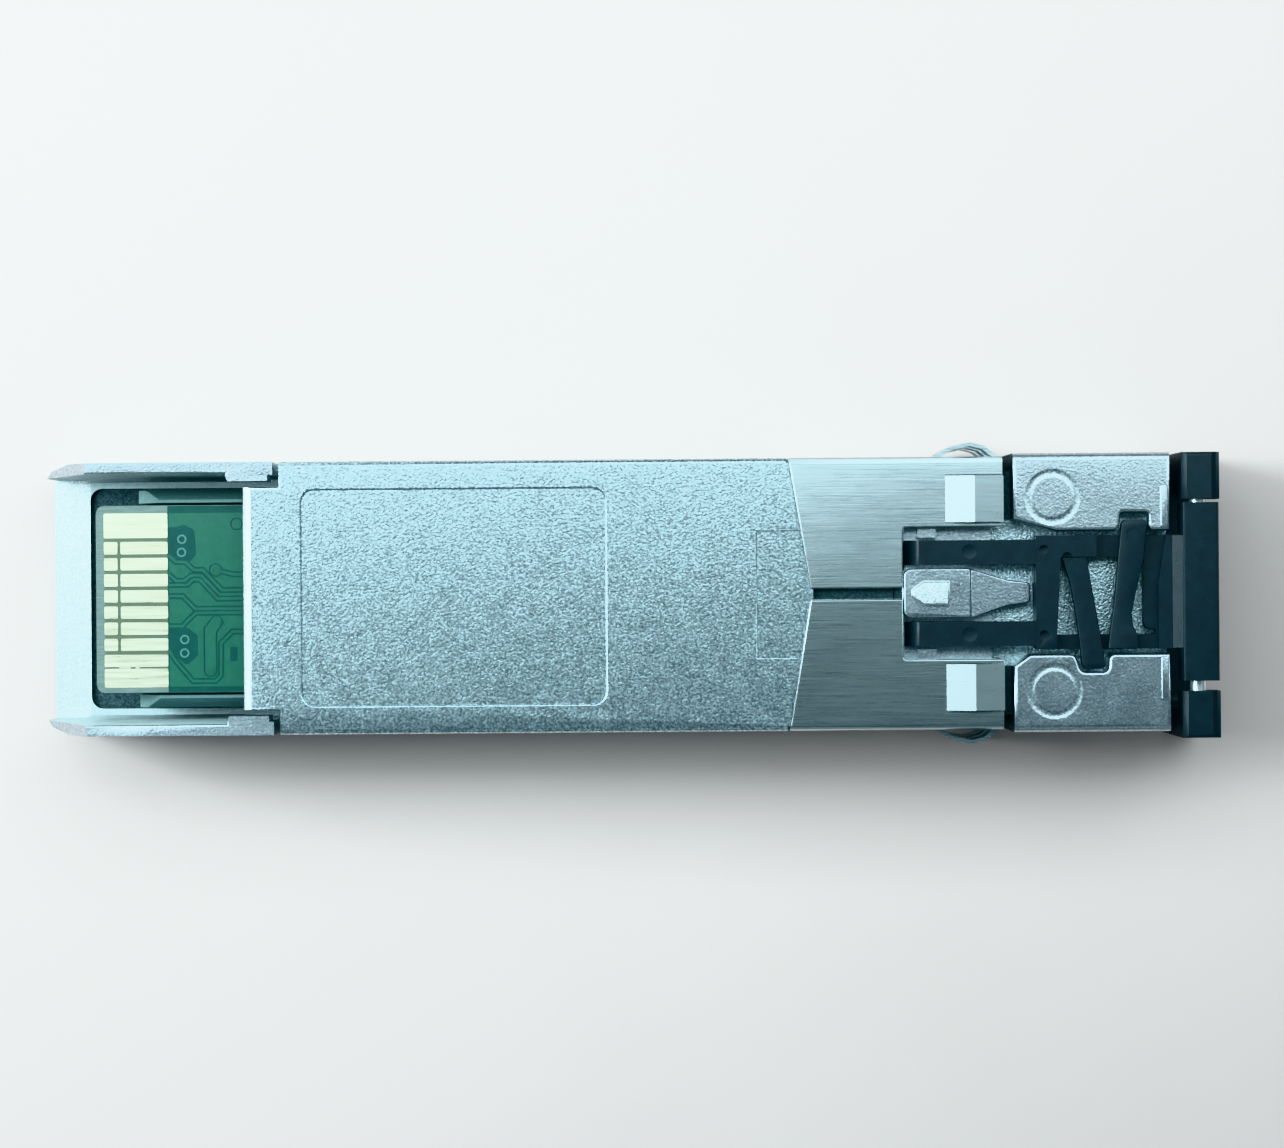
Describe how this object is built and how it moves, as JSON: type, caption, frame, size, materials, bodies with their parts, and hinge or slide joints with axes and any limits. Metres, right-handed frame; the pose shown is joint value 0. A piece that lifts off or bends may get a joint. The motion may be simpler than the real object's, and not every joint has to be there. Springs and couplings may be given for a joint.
{
  "type": "optical transceiver module",
  "caption": "Pluggable optical transceiver with a die-cast body, shield collar, card-edge board, duplex fibre receptacle, spring-return latch slider and hinged pull bail.",
  "frame": {"origin": "middle of the module's footprint on its label face", "axes": "+X towards the fibre receptacle, +Z towards the latch side, +Y to the left of someone looking along +X with the latch side up"},
  "size_m": [0.0584, 0.0148, 0.0089],
  "materials": {
    "die_cast": "satin",
    "steel_sheet": "satin",
    "board": "gloss",
    "optics_metal": "polished",
    "ceramic": "satin",
    "flex_film": "gloss",
    "chip_package": "matte",
    "tinned_metal": "satin",
    "thermal_rubber": "matte",
    "black_plastic": "satin",
    "pin_steel": "polished"
  },
  "bodies": {
    "housing": {"main_housing": "die_cast", "bottom_cover": "die_cast", "emi_collar": "steel_sheet", "circuit_board": "board", "transmitter_can": "optics_metal", "transmitter_can_sleeve": "ceramic", "receiver_can": "optics_metal", "receiver_can_sleeve": "ceramic", "optics_clamp": "black_plastic", "transmitter_flex": "flex_film", "receiver_flex": "flex_film", "laser_driver": "chip_package", "receive_amplifier": "chip_package", "controller": "chip_package", "memory_chip": "chip_package", "supply_inductor_tx": "tinned_metal", "supply_inductor_rx": "tinned_metal", "bulk_capacitor_tx": "ceramic", "bulk_capacitor_rx": "ceramic", "coupling_capacitor_tx": "ceramic", "coupling_capacitor_rx": "ceramic", "thermal_pad": "thermal_rubber"},
    "slider": {"latch_slider": "black_plastic", "leaf_spring_rear": "black_plastic", "leaf_spring_front": "black_plastic", "bail_pin": "pin_steel"},
    "bail": {"bail": "black_plastic"}
  },
  "joints": [
    {"name": "slider_pull", "type": "slide", "parent": "housing", "child": "slider", "axis": [1, 0, 0], "range_m": [0, 0.0012], "stiffness_N_per_m": 1200, "deforming": ["leaf_spring_rear", "leaf_spring_front"]},
    {"name": "bail_hinge", "type": "hinge", "parent": "slider", "child": "bail", "pos_m": [0.02816, 0, 0.00758], "axis": [0, -1, 0], "range_deg": [0, 90]}
  ]
}
